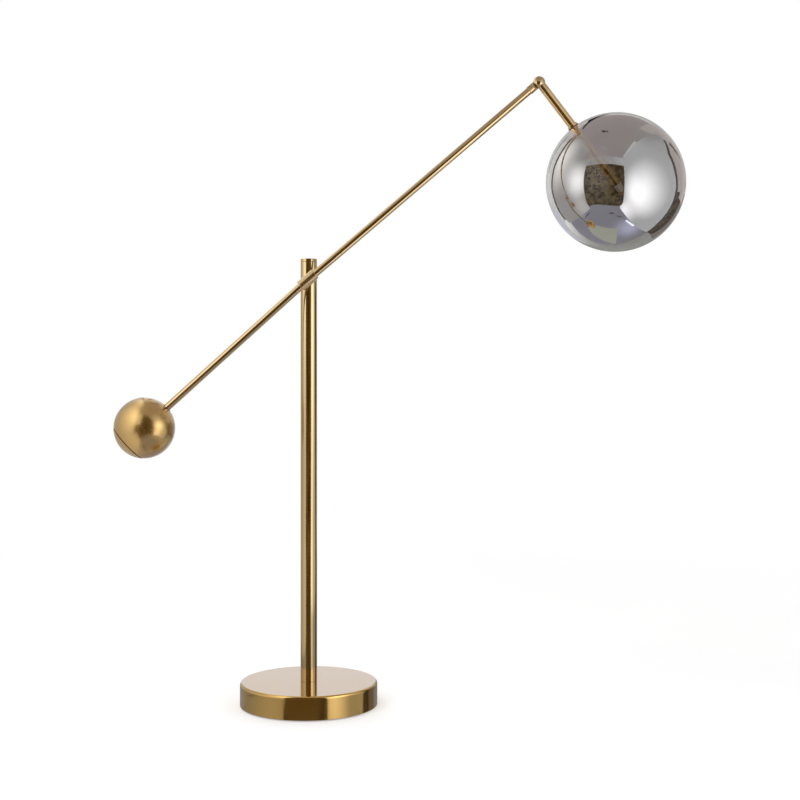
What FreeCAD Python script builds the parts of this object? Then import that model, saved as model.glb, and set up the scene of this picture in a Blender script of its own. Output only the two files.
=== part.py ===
import FreeCAD, Part
import math
import os
import Sketcher

# Balance-arm table lamp with a glass globe: a round weighted base, a straight
# pole, a tilting arm with a ball counterweight, and a tilting head that carries
# the globe.  +Z is up, the origin is the centre of the underside of the base,
# +X points towards the globe, and the arm swings in a plane in front of the pole.
doc = FreeCAD.newDocument("globe_lamp")

# ---------------------------------------------------------------- driving sizes
# Millimetres, and degrees for the angles.  Every other size follows from these.
SIZES = {
    # base
    "base_diameter": 150,
    "base_height": 26,
    "base_reveal": 1,
    "cover_wall": 1.2,
    "cover_top": 1.5,
    "rim_radius": 3,
    "pad_thickness": 1.6,
    "pad_inset": 5,
    "plate_thickness": 1.5,
    "plate_clearance": 0.4,
    "weight_clearance": 0.3,
    "nut_pocket_diameter": 27,
    "nut_pocket_height": 12,
    "channel_width": 15,
    "channel_height": 12,
    "plate_screw_diameter": 4,
    "plate_screw_head": 8,
    "plate_screw_length": 11,
    "plate_screw_inset": 23,
    "plate_screw_start": 30,
    "plate_screw_count": 3,
    "nipple_diameter": 10,
    "nipple_bore": 7,
    "nipple_grip": 14,
    "nut_flats": 16,
    "nut_height": 5,
    "washer_diameter": 23,
    "washer_thickness": 1.6,
    "grommet_bore": 6.6,
    "grommet_body": 9.8,
    "grommet_collar": 13,
    "grommet_collar_thickness": 2,
    "grommet_edge": 0.65,
    "grommet_height": 10.5,
    "block_width": 12,
    "block_length": 18,
    "block_height": 9,
    "block_clearance": 21.8,
    # pole
    "pole_diameter": 18,
    "pole_wall": 1.2,
    "pole_above_pivot": 24,
    "cap_height": 3.6,
    "cap_wall": 1.8,
    "cap_edge": 0.36,
    "cap_spigot_length": 8,
    "foot_bush_length": 17,
    # pole pivot
    "pivot_height": 463,
    "arm_offset": 19,
    "stud_diameter": 8,
    "stud_bore": 4.4,
    "stud_window": 3.4,
    "bush_diameter": 10,
    "bush_reach": 5,
    "saddle_diameter": 11.6,
    "saddle_thickness": 2,
    "friction_washer_thickness": 1,
    "spring_washer_thickness": 1.2,
    "spring_washer_diameter": 12.6,
    "cap_nut_flats": 13,
    "cap_nut_height": 6.5,
    "cap_nut_dome": 6,
    # sleeve and the two arm tubes
    "sleeve_diameter": 12,
    "sleeve_length": 21,
    "arm_diameter": 8,
    "arm_wall": 1,
    "front_arm_angle": 40.5,
    "front_arm_length": 329,
    "rear_arm_angle": 42.2,
    "rear_arm_length": 238,
    # counterweight
    "ball_diameter": 66,
    "ball_socket_depth": 14,
    "ball_recess_diameter": 10.4,
    "ball_recess_depth": 1.6,
    "end_cap_offset": 23,
    "end_cap_seam": 0.3,
    "end_cap_spigot_diameter": 30,
    "end_cap_spigot_length": 4.5,
    "bolt_diameter": 4,
    "bolt_head_diameter": 8,
    "bolt_head_height": 4,
    "bolt_head_depth": 10,
    "insert_length": 12,
    # knuckle between arm and head
    "knuckle_diameter": 13,
    "knuckle_split": 0.6,
    "arm_neck_diameter": 9.2,
    "arm_neck_start": 9.2,
    "arm_neck_length": 5.4,
    "head_neck_start": 7,
    "head_neck_length": 5,
    "spigot_length": 10,
    "knuckle_screw_diameter": 4,
    "knuckle_screw_reach": 4.6,
    "knuckle_screw_head": 7,
    "knuckle_screw_head_height": 2,
    "knuckle_screw_head_depth": 2.4,
    "knuckle_key_flats": 2.5,
    "knuckle_key_depth": 1.25,
    "groove_inner_diameter": 5.8,
    "groove_outer_diameter": 10,
    "groove_depth": 2.6,
    "knuckle_washer_thickness": 0.5,
    # head, globe and light source
    "head_angle": 52.7,
    "head_length": 136,
    "head_diameter": 9.5,
    "head_wall": 0.8,
    "head_tube_overrun": 3,
    "globe_diameter": 150,
    "globe_wall": 2.5,
    "globe_hole_diameter": 11.4,
    "globe_lip_diameter": 12.8,
    "globe_lip_thickness": 0.8,
    "globe_lip_clearance": 0.08,
    "collar_diameter": 11.6,
    "collar_height": 2.4,
    "collar_edge": 0.3,
    "set_screw_diameter": 1.2,
    "ring_diameter": 11,
    "ring_height": 2,
    "holder_length": 12,
    "bulb_base_length": 8,
    "bulb_diameter": 9.4,
    "bulb_length": 9,
    "pin_diameter": 0.7,
    "pin_spacing": 4,
    "pin_length": 7.5,
    # wiring
    "wire_diameter": 2,
    "wire_hole": 2.3,
    "wire_offset": 1.5,
    "pole_wire_height": 4.6,
    "pole_wire_bend": 9,
    "arm_wire_bend": 3.4,
    "wire_clearance": 0.5,
    # fits
    "fit_gap": 0.02,
    "running_gap": 0.05,
    "loose_gap": 0.2,
}

sheet = doc.addObject("Spreadsheet::Sheet", "d")
sheet.Label = "sizes"
for row, (alias, number) in enumerate(SIZES.items(), start=1):
    sheet.set(f"A{row}", alias)
    sheet.set(f"B{row}", str(number))
    sheet.setAlias(f"B{row}", alias)
doc.recompute()

# ------------------------------------------------- heights and radii in common
BASE_RADIUS = "(d.base_diameter / 2)"
POLE_RADIUS = "(d.pole_diameter / 2)"
POLE_BORE_RADIUS = "(d.pole_diameter / 2 - d.pole_wall)"
POLE_TOP = "(d.pivot_height + d.pole_above_pivot)"
COVER_BORE_RADIUS = "(d.base_diameter / 2 - d.cover_wall)"
PLATE_TOP = "(d.pad_thickness + d.plate_thickness)"
COVER_CEILING = "(d.base_height - d.cover_top)"
INNER_RIM_RADIUS = "max(d.rim_radius - d.cover_wall; d.cover_wall / 2)"
WEIGHT_RADIUS = f"({COVER_BORE_RADIUS} - {INNER_RIM_RADIUS} - d.weight_clearance)"
POCKET_CEILING = f"({PLATE_TOP} + d.nut_pocket_height)"
NUT_TOP = f"({POCKET_CEILING} - d.washer_thickness)"
NUT_BOTTOM = f"({NUT_TOP} - d.nut_height)"
BLOCK_START = f"({COVER_BORE_RADIUS} - d.block_clearance - d.block_length)"
STUD_RADIUS = "(d.stud_diameter / 2)"
SADDLE_FACE = "(d.pole_diameter / 2 + d.saddle_thickness)"
WASHER_FACE = f"({SADDLE_FACE} + d.friction_washer_thickness + d.running_gap)"
ARM_RADIUS = "(d.arm_diameter / 2)"
ARM_BORE_RADIUS = "(d.arm_diameter / 2 - d.arm_wall)"
BALL_RADIUS = "(d.ball_diameter / 2)"
KNUCKLE_RADIUS = "(d.knuckle_diameter / 2)"
SPLIT_FACE = "(d.knuckle_split / 2)"
ARM_NECK_RADIUS = "(d.arm_neck_diameter / 2)"
ARM_NECK_END = "(d.arm_neck_start + d.arm_neck_length)"
HEAD_RADIUS = "(d.head_diameter / 2)"
HEAD_BORE_RADIUS = "(d.head_diameter / 2 - d.head_wall)"
HEAD_NECK_END = "(d.head_neck_start + d.head_neck_length)"
HEAD_TUBE_END = "(d.head_length + d.head_tube_overrun)"
GLOBE_RADIUS = "(d.globe_diameter / 2)"
GLOBE_HOLE_RADIUS = "(d.globe_hole_diameter / 2)"
GLASS_OUTER_EDGE = f"(d.head_length - sqrt({GLOBE_RADIUS}^2 - {GLOBE_HOLE_RADIUS}^2))"
GLASS_INNER_EDGE = (
    f"(d.head_length - sqrt(({GLOBE_RADIUS} - d.globe_wall)^2 - (d.globe_lip_diameter / 2)^2))"
)
LIP_OUTER_FACE = f"({GLASS_OUTER_EDGE} - d.globe_lip_clearance)"
LIP_INNER_FACE = f"({GLASS_INNER_EDGE} + d.globe_lip_clearance)"
COLLAR_TOP = f"({LIP_OUTER_FACE} - d.globe_lip_thickness)"
RING_BOTTOM = f"({LIP_INNER_FACE} + d.globe_lip_thickness)"
HOLDER_END = f"({HEAD_TUBE_END} - d.bulb_base_length)"
WIRE_RADIUS = "(d.wire_diameter / 2)"

KNUCKLE_X = "(d.front_arm_length * cos(d.front_arm_angle))"
KNUCKLE_Z = "(d.pivot_height + d.front_arm_length * sin(d.front_arm_angle))"


# --------------------------------------------------------------- small helpers
def bind(thing, **sizes):
    """Ties properties to expressions of the sizes; a double underscore is a dot."""
    for name, expression in sizes.items():
        thing.setExpression(name.replace("__", "."), expression)
    return thing


def lift(thing, x="0", y="0", z="0"):
    """Ties the place of a thing, leaving its rotation as it is."""
    return bind(thing, Placement__Base__x=x, Placement__Base__y=y, Placement__Base__z=z)


def turn(thing, rotation):
    thing.Placement = FreeCAD.Placement(thing.Placement.Base, rotation)
    return thing


UPRIGHT = FreeCAD.Rotation()
TO_REAR = FreeCAD.Rotation(FreeCAD.Vector(1, 0, 0), -90)
TO_FRONT = FreeCAD.Rotation(FreeCAD.Vector(1, 0, 0), 90)
SIDEWAYS = FreeCAD.Rotation(FreeCAD.Vector(0, 1, 0), 90)
DOWNWARD = FreeCAD.Rotation(FreeCAD.Vector(1, 0, 0), 180)


def cylinder(radius, height, x="0", y="0", z="0", rotation=UPRIGHT):
    rod = doc.addObject("Part::Cylinder", "rod")
    bind(rod, Radius=radius, Height=height)
    return lift(turn(rod, rotation), x, y, z)


def sphere(radius, x="0", y="0", z="0"):
    ball = doc.addObject("Part::Sphere", "ball")
    return lift(bind(ball, Radius=radius), x, y, z)


def dome(radius, x="0", y="0", z="0", rotation=UPRIGHT):
    """Half a sphere, standing on its flat face."""
    half = doc.addObject("Part::Sphere", "dome")
    half.Angle1 = 0
    return lift(turn(bind(half, Radius=radius), rotation), x, y, z)


def box(width, depth, height, x="0", y="0", z="0"):
    """A block centred on x, with its near face at y and its underside at z."""
    block = doc.addObject("Part::Box", "block")
    bind(block, Length=width, Width=depth, Height=height)
    return lift(block, f"{x} - ({width}) / 2", y, z)


def hexagon(flats, height, x="0", y="0", z="0", rotation=UPRIGHT):
    prism = doc.addObject("Part::Prism", "hexagon")
    prism.Polygon = 6
    bind(prism, Circumradius=f"({flats}) / 2 / cos(30)", Height=height)
    return lift(turn(prism, rotation), x, y, z)


def carried(*things):
    """Holds finished shapes together, so that their frame can place them."""
    group = doc.addObject("Part::Compound", "carried")
    group.Links = list(things)
    return group


def fuse(*things):
    joined = doc.addObject("Part::MultiFuse", "joined")
    joined.Shapes = list(things)
    joined.Refine = True
    return joined


def cut(base, *tools):
    hollowed = doc.addObject("Part::Cut", "hollowed")
    hollowed.Base = base
    hollowed.Tool = tools[0] if len(tools) == 1 else fuse(*tools)
    return hollowed


def common(base, tool):
    shared = doc.addObject("Part::Common", "shared")
    shared.Base = base
    shared.Tool = tool
    return shared


def turned(corners):
    """A body turned about Z from a closed outline of (radius, height) corners."""
    body = doc.addObject("PartDesign::Body", "turned")
    outline = body.newObject("Sketcher::SketchObject", "outline")
    plane = [p for p in body.Origin.OriginFeatures if p.Role == "XZ_Plane"][0]
    outline.AttachmentSupport = [(plane, "")]
    outline.MapMode = "FlatFace"
    points = [
        FreeCAD.Vector(float(sheet.evalExpression(r)), float(sheet.evalExpression(h)), 0)
        for r, h in (local_names(corner) for corner in corners)
    ]
    for here, there in zip(points, points[1:] + points[:1]):
        outline.addGeometry(Part.LineSegment(here, there))
    for line in range(len(points)):
        outline.addConstraint(
            Sketcher.Constraint("Coincident", line, 2, (line + 1) % len(points), 1)
        )
    for line, (point, corner) in enumerate(zip(points, corners)):
        across = outline.addConstraint(Sketcher.Constraint("DistanceX", -1, 1, line, 1, point.x))
        up = outline.addConstraint(Sketcher.Constraint("DistanceY", -1, 1, line, 1, point.y))
        outline.setExpression(f"Constraints[{across}]", corner[0])
        outline.setExpression(f"Constraints[{up}]", corner[1])
    revolution = body.newObject("PartDesign::Revolution", "revolution")
    revolution.Profile = outline
    revolution.ReferenceAxis = (outline, ["V_Axis"])
    revolution.Angle = 360
    return body


def local_names(corner):
    """The same expressions as the sheet itself reads them."""
    return [expression.replace("d.", "") for expression in corner]


def ring(inner, outer, bottom, top):
    return turned([(inner, bottom), (outer, bottom), (outer, top), (inner, top)])


def rounded(body, radius, *corners):
    """Rounds the circular edges that run through the given (radius, height) corners."""
    doc.recompute()
    base = body.Tip
    names = []
    for corner in corners:
        r, h = [float(sheet.evalExpression(e)) for e in local_names(corner)]
        for number, edge in enumerate(base.Shape.Edges, start=1):
            curve = edge.Curve
            if isinstance(curve, Part.Circle) and math.isclose(curve.Radius, r, abs_tol=1e-6):
                if math.isclose(curve.Center.z, h, abs_tol=1e-6):
                    names.append(f"Edge{number}")
    fillet = body.newObject("PartDesign::Fillet", "rounding")
    fillet.Base = (base, names)
    fillet.setExpression("Radius", radius)
    return body


def bent_wire(level_run, bend, upright_run):
    """A wire that comes level along -Y at height 0 and turns up along the Z axis."""
    elbow = doc.addObject("Part::Torus", "elbow")
    bind(elbow, Radius1=bend, Radius2=WIRE_RADIUS, Angle3="90")
    down = FreeCAD.Vector(0, 0, -1)
    front = FreeCAD.Vector(0, -1, 0)
    left = FreeCAD.Vector(-1, 0, 0)
    lift(turn(elbow, FreeCAD.Rotation(down, front, left, "XYZ")), "0", bend, bend)
    level = cylinder(WIRE_RADIUS, level_run, y=bend, rotation=TO_REAR)
    upright = cylinder(WIRE_RADIUS, upright_run, z=bend)
    return fuse(level, elbow, upright)


# ------------------------------------------------------------ where pieces sit
# Each frame is an origin and a turn about Y.  In the arm and head frames Z runs
# out along the tube and Y points to the rear of the lamp, as it does everywhere.
FRAMES = {
    "stand": ("0", "0", "0", "0"),
    "pivot": ("0", "0", "d.pivot_height", "0"),
    "sleeve": (
        "0",
        "-d.arm_offset",
        "d.pivot_height",
        "90 - (d.front_arm_angle + d.rear_arm_angle) / 2",
    ),
    "front_arm": ("0", "-d.arm_offset", "d.pivot_height", "90 - d.front_arm_angle"),
    "rear_arm": ("0", "-d.arm_offset", "d.pivot_height", "270 - d.rear_arm_angle"),
    "ball": (
        "-d.rear_arm_length * cos(d.rear_arm_angle)",
        "-d.arm_offset",
        "d.pivot_height - d.rear_arm_length * sin(d.rear_arm_angle)",
        "270 - d.rear_arm_angle",
    ),
    "arm_knuckle": (KNUCKLE_X, "-d.arm_offset", KNUCKLE_Z, "90 - d.front_arm_angle"),
    "head": (KNUCKLE_X, "-d.arm_offset", KNUCKLE_Z, "90 + d.head_angle"),
}
pieces = []


def piece(label, thing, frame="stand"):
    """Names a finished sub-part and places it in its frame."""
    x, y, z, angle = FRAMES[frame]
    thing.Label = label
    thing.Placement = FreeCAD.Placement(
        FreeCAD.Vector(), FreeCAD.Rotation(FreeCAD.Vector(0, 1, 0), 1)
    )
    lift(thing, x, y, z)
    thing.setExpression("Placement.Rotation.Angle", f"({angle}) * 1 deg")
    pieces.append(thing)
    return thing


# ------------------------------------------------------------------------ base
def base_pieces():
    """Soft pad, steel plate, cast ballast and the spun cover that hides them."""
    piece("base_pad", cylinder(f"{COVER_BORE_RADIUS} - d.pad_inset", "d.pad_thickness"))

    def around_screws(radius, height, bottom):
        rods = []
        for number in range(SIZES["plate_screw_count"]):
            angle = f"(d.plate_screw_start + {360 / SIZES['plate_screw_count'] * number})"
            across = f"({BASE_RADIUS} - d.plate_screw_inset) * cos{angle}"
            along = f"({BASE_RADIUS} - d.plate_screw_inset) * sin{angle}"
            rods.append(cylinder(radius, height, across, along, bottom))
        return rods

    plate = cylinder(
        f"{COVER_BORE_RADIUS} - d.plate_clearance", "d.plate_thickness", z="d.pad_thickness"
    )
    head_holes = around_screws(
        "d.plate_screw_head / 2 + d.loose_gap", "d.plate_thickness", "d.pad_thickness"
    )
    piece("base_plate", cut(plate, *head_holes))

    weight = cylinder(WEIGHT_RADIUS, f"{COVER_CEILING} - {PLATE_TOP}", z=PLATE_TOP)
    pocket = cylinder("d.nut_pocket_diameter / 2", "d.nut_pocket_height", z=PLATE_TOP)
    nipple_hole = cylinder("d.nipple_diameter / 2 + d.loose_gap", "d.base_height", z=PLATE_TOP)
    channel = box("d.channel_width", BASE_RADIUS, "d.channel_height", z=PLATE_TOP)
    screw_holes = around_screws(
        "d.plate_screw_diameter / 2 + d.fit_gap", "d.plate_screw_length", PLATE_TOP
    )
    piece("base_weight", cut(weight, pocket, nipple_hole, channel, *screw_holes))

    screws = []
    for head, shank in zip(
        around_screws(
            "d.plate_screw_head / 2", "d.plate_thickness - d.loose_gap",
            "d.pad_thickness + d.loose_gap",
        ),
        around_screws(
            "d.plate_screw_diameter / 2", "d.plate_screw_length - d.loose_gap", PLATE_TOP
        ),
    ):
        screws.append(fuse(head, shank))
    piece("plate_screws", carried(*screws))

    edge_radius = "(d.nipple_diameter / 2 + d.loose_gap)"
    outer_rim = (BASE_RADIUS, "d.base_height")
    inner_rim = (COVER_BORE_RADIUS, COVER_CEILING)
    spun = turned([
        (edge_radius, COVER_CEILING), (edge_radius, "d.base_height"), outer_rim,
        (BASE_RADIUS, "d.base_reveal"), (COVER_BORE_RADIUS, "d.base_reveal"), inner_rim,
    ])
    rounded(spun, "d.rim_radius", outer_rim)
    rounded(spun, INNER_RIM_RADIUS, inner_rim)
    inlet = cylinder(
        "d.grommet_body / 2 + d.fit_gap", BASE_RADIUS, z="d.grommet_height", rotation=TO_REAR
    )
    piece("base_cover", cut(spun, inlet))


def base_fastening():
    """Threaded nipple, nut and washer that pull the pole down on the ballast."""
    nipple_end = "(d.base_height + d.nipple_grip)"
    nipple_start = f"({NUT_BOTTOM} - d.loose_gap)"
    radius = "(d.nipple_diameter / 2)"
    piece("base_nipple", ring("d.nipple_bore / 2", radius, nipple_start, nipple_end))
    nut = hexagon("d.nut_flats", "d.nut_height", z=NUT_BOTTOM)
    thread = cylinder(f"{radius} + d.fit_gap", "d.nut_height", z=NUT_BOTTOM)
    piece("nipple_nut", cut(nut, thread))
    hole = f"({radius} + d.fit_gap)"
    piece("nipple_washer", ring(hole, "d.washer_diameter / 2", NUT_TOP, POCKET_CEILING))


def cord_inlet():
    """Rubber grommet in the rear wall and the terminal block behind it."""
    bore = "(d.grommet_bore / 2)"
    body_radius = "(d.grommet_body / 2)"
    collar_radius = "(d.grommet_collar / 2)"
    outer_face = f"({BASE_RADIUS} + d.fit_gap)"
    inner_face = f"(sqrt({COVER_BORE_RADIUS}^2 - {collar_radius}^2) - d.fit_gap)"
    outer_end = f"({outer_face} + d.grommet_collar_thickness)"
    inner_end = f"({inner_face} - d.grommet_collar_thickness / 2)"
    grommet = turned([
        (bore, inner_end), (collar_radius, inner_end), (collar_radius, inner_face),
        (body_radius, inner_face), (body_radius, outer_face), (collar_radius, outer_face),
        (collar_radius, outer_end), (bore, outer_end),
    ])
    rounded(grommet, "d.grommet_edge", (collar_radius, outer_end))
    grommet.Placement = FreeCAD.Placement(FreeCAD.Vector(), TO_REAR)
    lift(grommet, z="d.grommet_height")
    piece("cord_grommet", carried(grommet))
    piece("terminal_block", carried(box(
        "d.block_width", "d.block_length", "d.block_height", y=BLOCK_START, z=PLATE_TOP
    )))


# ------------------------------------------------------------------------ pole
def pole_pieces():
    """Tube with a bush in its foot, a turned cap and two pivot bushes."""
    tube_top = f"({POLE_TOP} - d.cap_height)"
    tube = ring(POLE_BORE_RADIUS, POLE_RADIUS, "d.base_height", tube_top)
    cross_hole = cylinder(
        "d.bush_diameter / 2 + d.fit_gap", "2 * d.pole_diameter",
        y="-d.pole_diameter", z="d.pivot_height", rotation=TO_REAR,
    )
    piece("pole_tube", cut(tube, cross_hole))

    bush_bore = "(d.nipple_diameter / 2 + d.fit_gap)"
    bush_top = "(d.base_height + d.foot_bush_length)"
    bush_radius = f"({POLE_BORE_RADIUS} - d.fit_gap)"
    piece("pole_foot_bush", ring(bush_bore, bush_radius, "d.base_height", bush_top))

    spigot_end = f"({tube_top} - d.cap_spigot_length)"
    spigot = f"({POLE_BORE_RADIUS} - d.fit_gap)"
    bore = f"({spigot} - d.cap_wall)"
    ceiling = f"({POLE_TOP} - d.cap_wall)"
    cap = turned([
        (bore, spigot_end), (spigot, spigot_end), (spigot, tube_top), (POLE_RADIUS, tube_top),
        (POLE_RADIUS, POLE_TOP), ("0", POLE_TOP), ("0", ceiling), (bore, ceiling),
    ])
    rounded(cap, "d.cap_edge", (POLE_RADIUS, POLE_TOP))
    piece("pole_cap", cap)

    for side, heading in (("front", TO_FRONT), ("rear", TO_REAR)):
        saddle = cylinder("d.saddle_diameter / 2", SADDLE_FACE, rotation=heading)
        pole = cylinder(
            f"{POLE_RADIUS} + d.fit_gap", "4 * d.pole_diameter", z="-2 * d.pole_diameter"
        )
        sign = "-" if side == "front" else ""
        stem_start = f"({POLE_RADIUS} - d.bush_reach)"
        stem = cylinder(
            "d.bush_diameter / 2", f"{SADDLE_FACE} - {stem_start}",
            y=f"{sign}{stem_start}", rotation=heading,
        )
        stud_hole = cylinder(
            f"{STUD_RADIUS} + d.running_gap", f"2 * {SADDLE_FACE}", rotation=heading
        )
        piece(f"{side}_pivot_bush", cut(fuse(cut(saddle, pole), stem), stud_hole), "pivot")

    wire = bent_wire(
        f"{BLOCK_START} - d.pole_wire_bend",
        "d.pole_wire_bend",
        f"d.pivot_height - {STUD_RADIUS} - d.wire_clearance - d.pole_wire_height"
        " - d.pole_wire_bend",
    )
    piece("pole_wire", carried(lift(wire, z="d.pole_wire_height")))


# ----------------------------------------------------------------- pole pivot
def pivot_pieces():
    """Hollow stud, friction washers, spring washer and cap nut behind the pole."""
    socket_floor = f"(d.arm_offset - {ARM_RADIUS} - d.loose_gap)"
    nut_face = f"({WASHER_FACE} + d.spring_washer_thickness)"
    stud_end = f"({nut_face} + d.cap_nut_height)"
    stud = cylinder(
        STUD_RADIUS, f"{socket_floor} + {stud_end}", y=f"-{socket_floor}", rotation=TO_REAR
    )
    bore = cylinder(
        "d.stud_bore / 2", f"{socket_floor} + d.stud_bore / 2", y=f"-{socket_floor}",
        rotation=TO_REAR,
    )
    window = cylinder("d.stud_window / 2", "d.stud_diameter", rotation=DOWNWARD)
    piece("pivot_stud", cut(stud, bore, window), "pivot")

    hole = f"({STUD_RADIUS} + d.fit_gap)"
    for side, heading, sign in (("front", TO_FRONT, "-"), ("rear", TO_REAR, "")):
        start = f"({SADDLE_FACE} + d.running_gap)"
        thickness = "d.friction_washer_thickness"
        disc = cylinder("d.saddle_diameter / 2", thickness, y=sign + start, rotation=heading)
        eye = cylinder(hole, thickness, y=sign + start, rotation=heading)
        piece(f"{side}_friction_washer", cut(disc, eye), "pivot")

    spring = cylinder(
        "d.spring_washer_diameter / 2", "d.spring_washer_thickness", y=WASHER_FACE,
        rotation=TO_REAR,
    )
    eye = cylinder(hole, "d.spring_washer_thickness", y=WASHER_FACE, rotation=TO_REAR)
    piece("pivot_spring_washer", cut(spring, eye), "pivot")

    flats = hexagon("d.cap_nut_flats", "d.cap_nut_height", y=nut_face, rotation=TO_REAR)
    crown = dome("d.cap_nut_dome", y=stud_end, rotation=TO_REAR)
    thread = cylinder(hole, "d.cap_nut_height + d.loose_gap", y=nut_face, rotation=TO_REAR)
    piece("pivot_cap_nut", cut(fuse(flats, crown), thread), "pivot")


# ------------------------------------------------------------------------- arm
def arm_pieces():
    """Sleeve on the pivot with a tube soldered into each end of it."""
    kink = "((d.rear_arm_angle - d.front_arm_angle) / 2)"
    boss_face = f"(d.arm_offset - {WASHER_FACE})"
    body = cylinder("d.sleeve_diameter / 2", "d.sleeve_length", z="-d.sleeve_length / 2")
    boss = cylinder("d.saddle_diameter / 2", boss_face, rotation=TO_REAR)
    sockets = []
    for angle in (kink, f"180 - {kink}"):
        socket = cylinder(f"{ARM_RADIUS} + d.fit_gap", "d.sleeve_length")
        socket.Placement.Rotation = FreeCAD.Rotation(FreeCAD.Vector(0, 1, 0), 1)
        socket.setExpression("Placement.Rotation.Angle", f"({angle}) * 1 deg")
        sockets.append(socket)
    stud_hole = cylinder(f"{STUD_RADIUS} + d.fit_gap", boss_face, rotation=TO_REAR)
    piece("arm_sleeve", cut(fuse(body, boss), *sockets, stud_hole), "sleeve")

    tube_start = "(d.stud_bore / 2 + d.wire_clearance)"
    front_end = f"(d.front_arm_length - {ARM_NECK_END})"
    rear_end = f"(d.rear_arm_length - {BALL_RADIUS} + d.ball_socket_depth - d.loose_gap)"
    piece("front_arm_tube", ring(ARM_BORE_RADIUS, ARM_RADIUS, tube_start, front_end), "front_arm")
    piece("rear_arm_tube", ring(ARM_BORE_RADIUS, ARM_RADIUS, tube_start, rear_end), "rear_arm")
    piece("rear_tube_insert", ring(
        "(d.bolt_diameter / 2 + d.fit_gap)", f"({ARM_BORE_RADIUS} - d.fit_gap)",
        f"({rear_end} - d.insert_length)", rear_end,
    ), "rear_arm")

    wire = bent_wire(
        "d.arm_offset - d.wire_offset - d.arm_wire_bend",
        "d.arm_wire_bend",
        "d.front_arm_length - d.arm_wire_bend - d.groove_inner_diameter / 2 - d.wire_clearance",
    )
    piece("arm_wire", carried(lift(wire, y="d.wire_offset")), "front_arm")


def counterweight_pieces():
    """Solid ball on the rear tube, its bolt, and the end cap that hides the bolt."""
    mouth = f"(-{BALL_RADIUS} + d.ball_socket_depth)"
    whole = sphere(BALL_RADIUS)
    cut_off = cylinder(BALL_RADIUS, BALL_RADIUS, z="d.end_cap_offset - d.end_cap_seam")
    socket = cylinder(
        f"{ARM_RADIUS} + d.fit_gap", "d.ball_socket_depth", z=f"-{BALL_RADIUS}"
    )
    recess_floor = f"sqrt({BALL_RADIUS}^2 - (d.ball_recess_diameter / 2)^2) - d.ball_recess_depth"
    recess = cylinder(
        "d.ball_recess_diameter / 2", BALL_RADIUS, z=f"-({recess_floor}) - {BALL_RADIUS}"
    )
    bolt_hole = cylinder("d.bolt_diameter / 2 + d.loose_gap", "d.ball_diameter", z=mouth)
    head_hole = cylinder(
        "d.bolt_head_diameter / 2 + d.loose_gap", BALL_RADIUS, z="d.bolt_head_depth"
    )
    seat = cylinder(
        "d.end_cap_spigot_diameter / 2 + d.fit_gap", BALL_RADIUS,
        z="d.end_cap_offset - d.end_cap_spigot_length - d.loose_gap",
    )
    ball = cut(whole, cut_off, socket, recess, bolt_hole, head_hole, seat)
    piece("counterweight_ball", ball, "ball")

    head = cylinder("d.bolt_head_diameter / 2", "d.bolt_head_height", z="d.bolt_head_depth")
    tip = f"({mouth} - d.insert_length)"
    shank = cylinder("d.bolt_diameter / 2", f"d.bolt_head_depth - {tip}", z=tip)
    piece("counterweight_bolt", fuse(head, shank), "ball")

    cap = common(sphere(BALL_RADIUS), cylinder(BALL_RADIUS, BALL_RADIUS, z="d.end_cap_offset"))
    spigot = cylinder(
        "d.end_cap_spigot_diameter / 2", "d.end_cap_spigot_length",
        z="d.end_cap_offset - d.end_cap_spigot_length",
    )
    piece("counterweight_end_cap", fuse(cap, spigot), "ball")


# --------------------------------------------------------------------- knuckle
def half_knuckle(side, neck_radius, neck_start):
    """Half a ball with half a tongue, on one side of the split in the plane of the arm."""
    heading = TO_REAR if side == "rear" else TO_FRONT
    sign = "" if side == "rear" else "-"
    half_space = cylinder(
        f"{neck_start} + {KNUCKLE_RADIUS}", KNUCKLE_RADIUS, y=sign + SPLIT_FACE, rotation=heading
    )
    tongue_start = f"-{neck_start}" if side == "rear" else "0"
    tongue = cylinder(neck_radius, neck_start, z=tongue_start)
    groove = cut(
        cylinder(
            "d.groove_outer_diameter / 2", "d.groove_depth", y=sign + SPLIT_FACE,
            rotation=heading,
        ),
        cylinder(
            "d.groove_inner_diameter / 2", "d.groove_depth", y=sign + SPLIT_FACE,
            rotation=heading,
        ),
    )
    return cut(common(fuse(sphere(KNUCKLE_RADIUS), tongue), half_space), groove)


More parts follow.
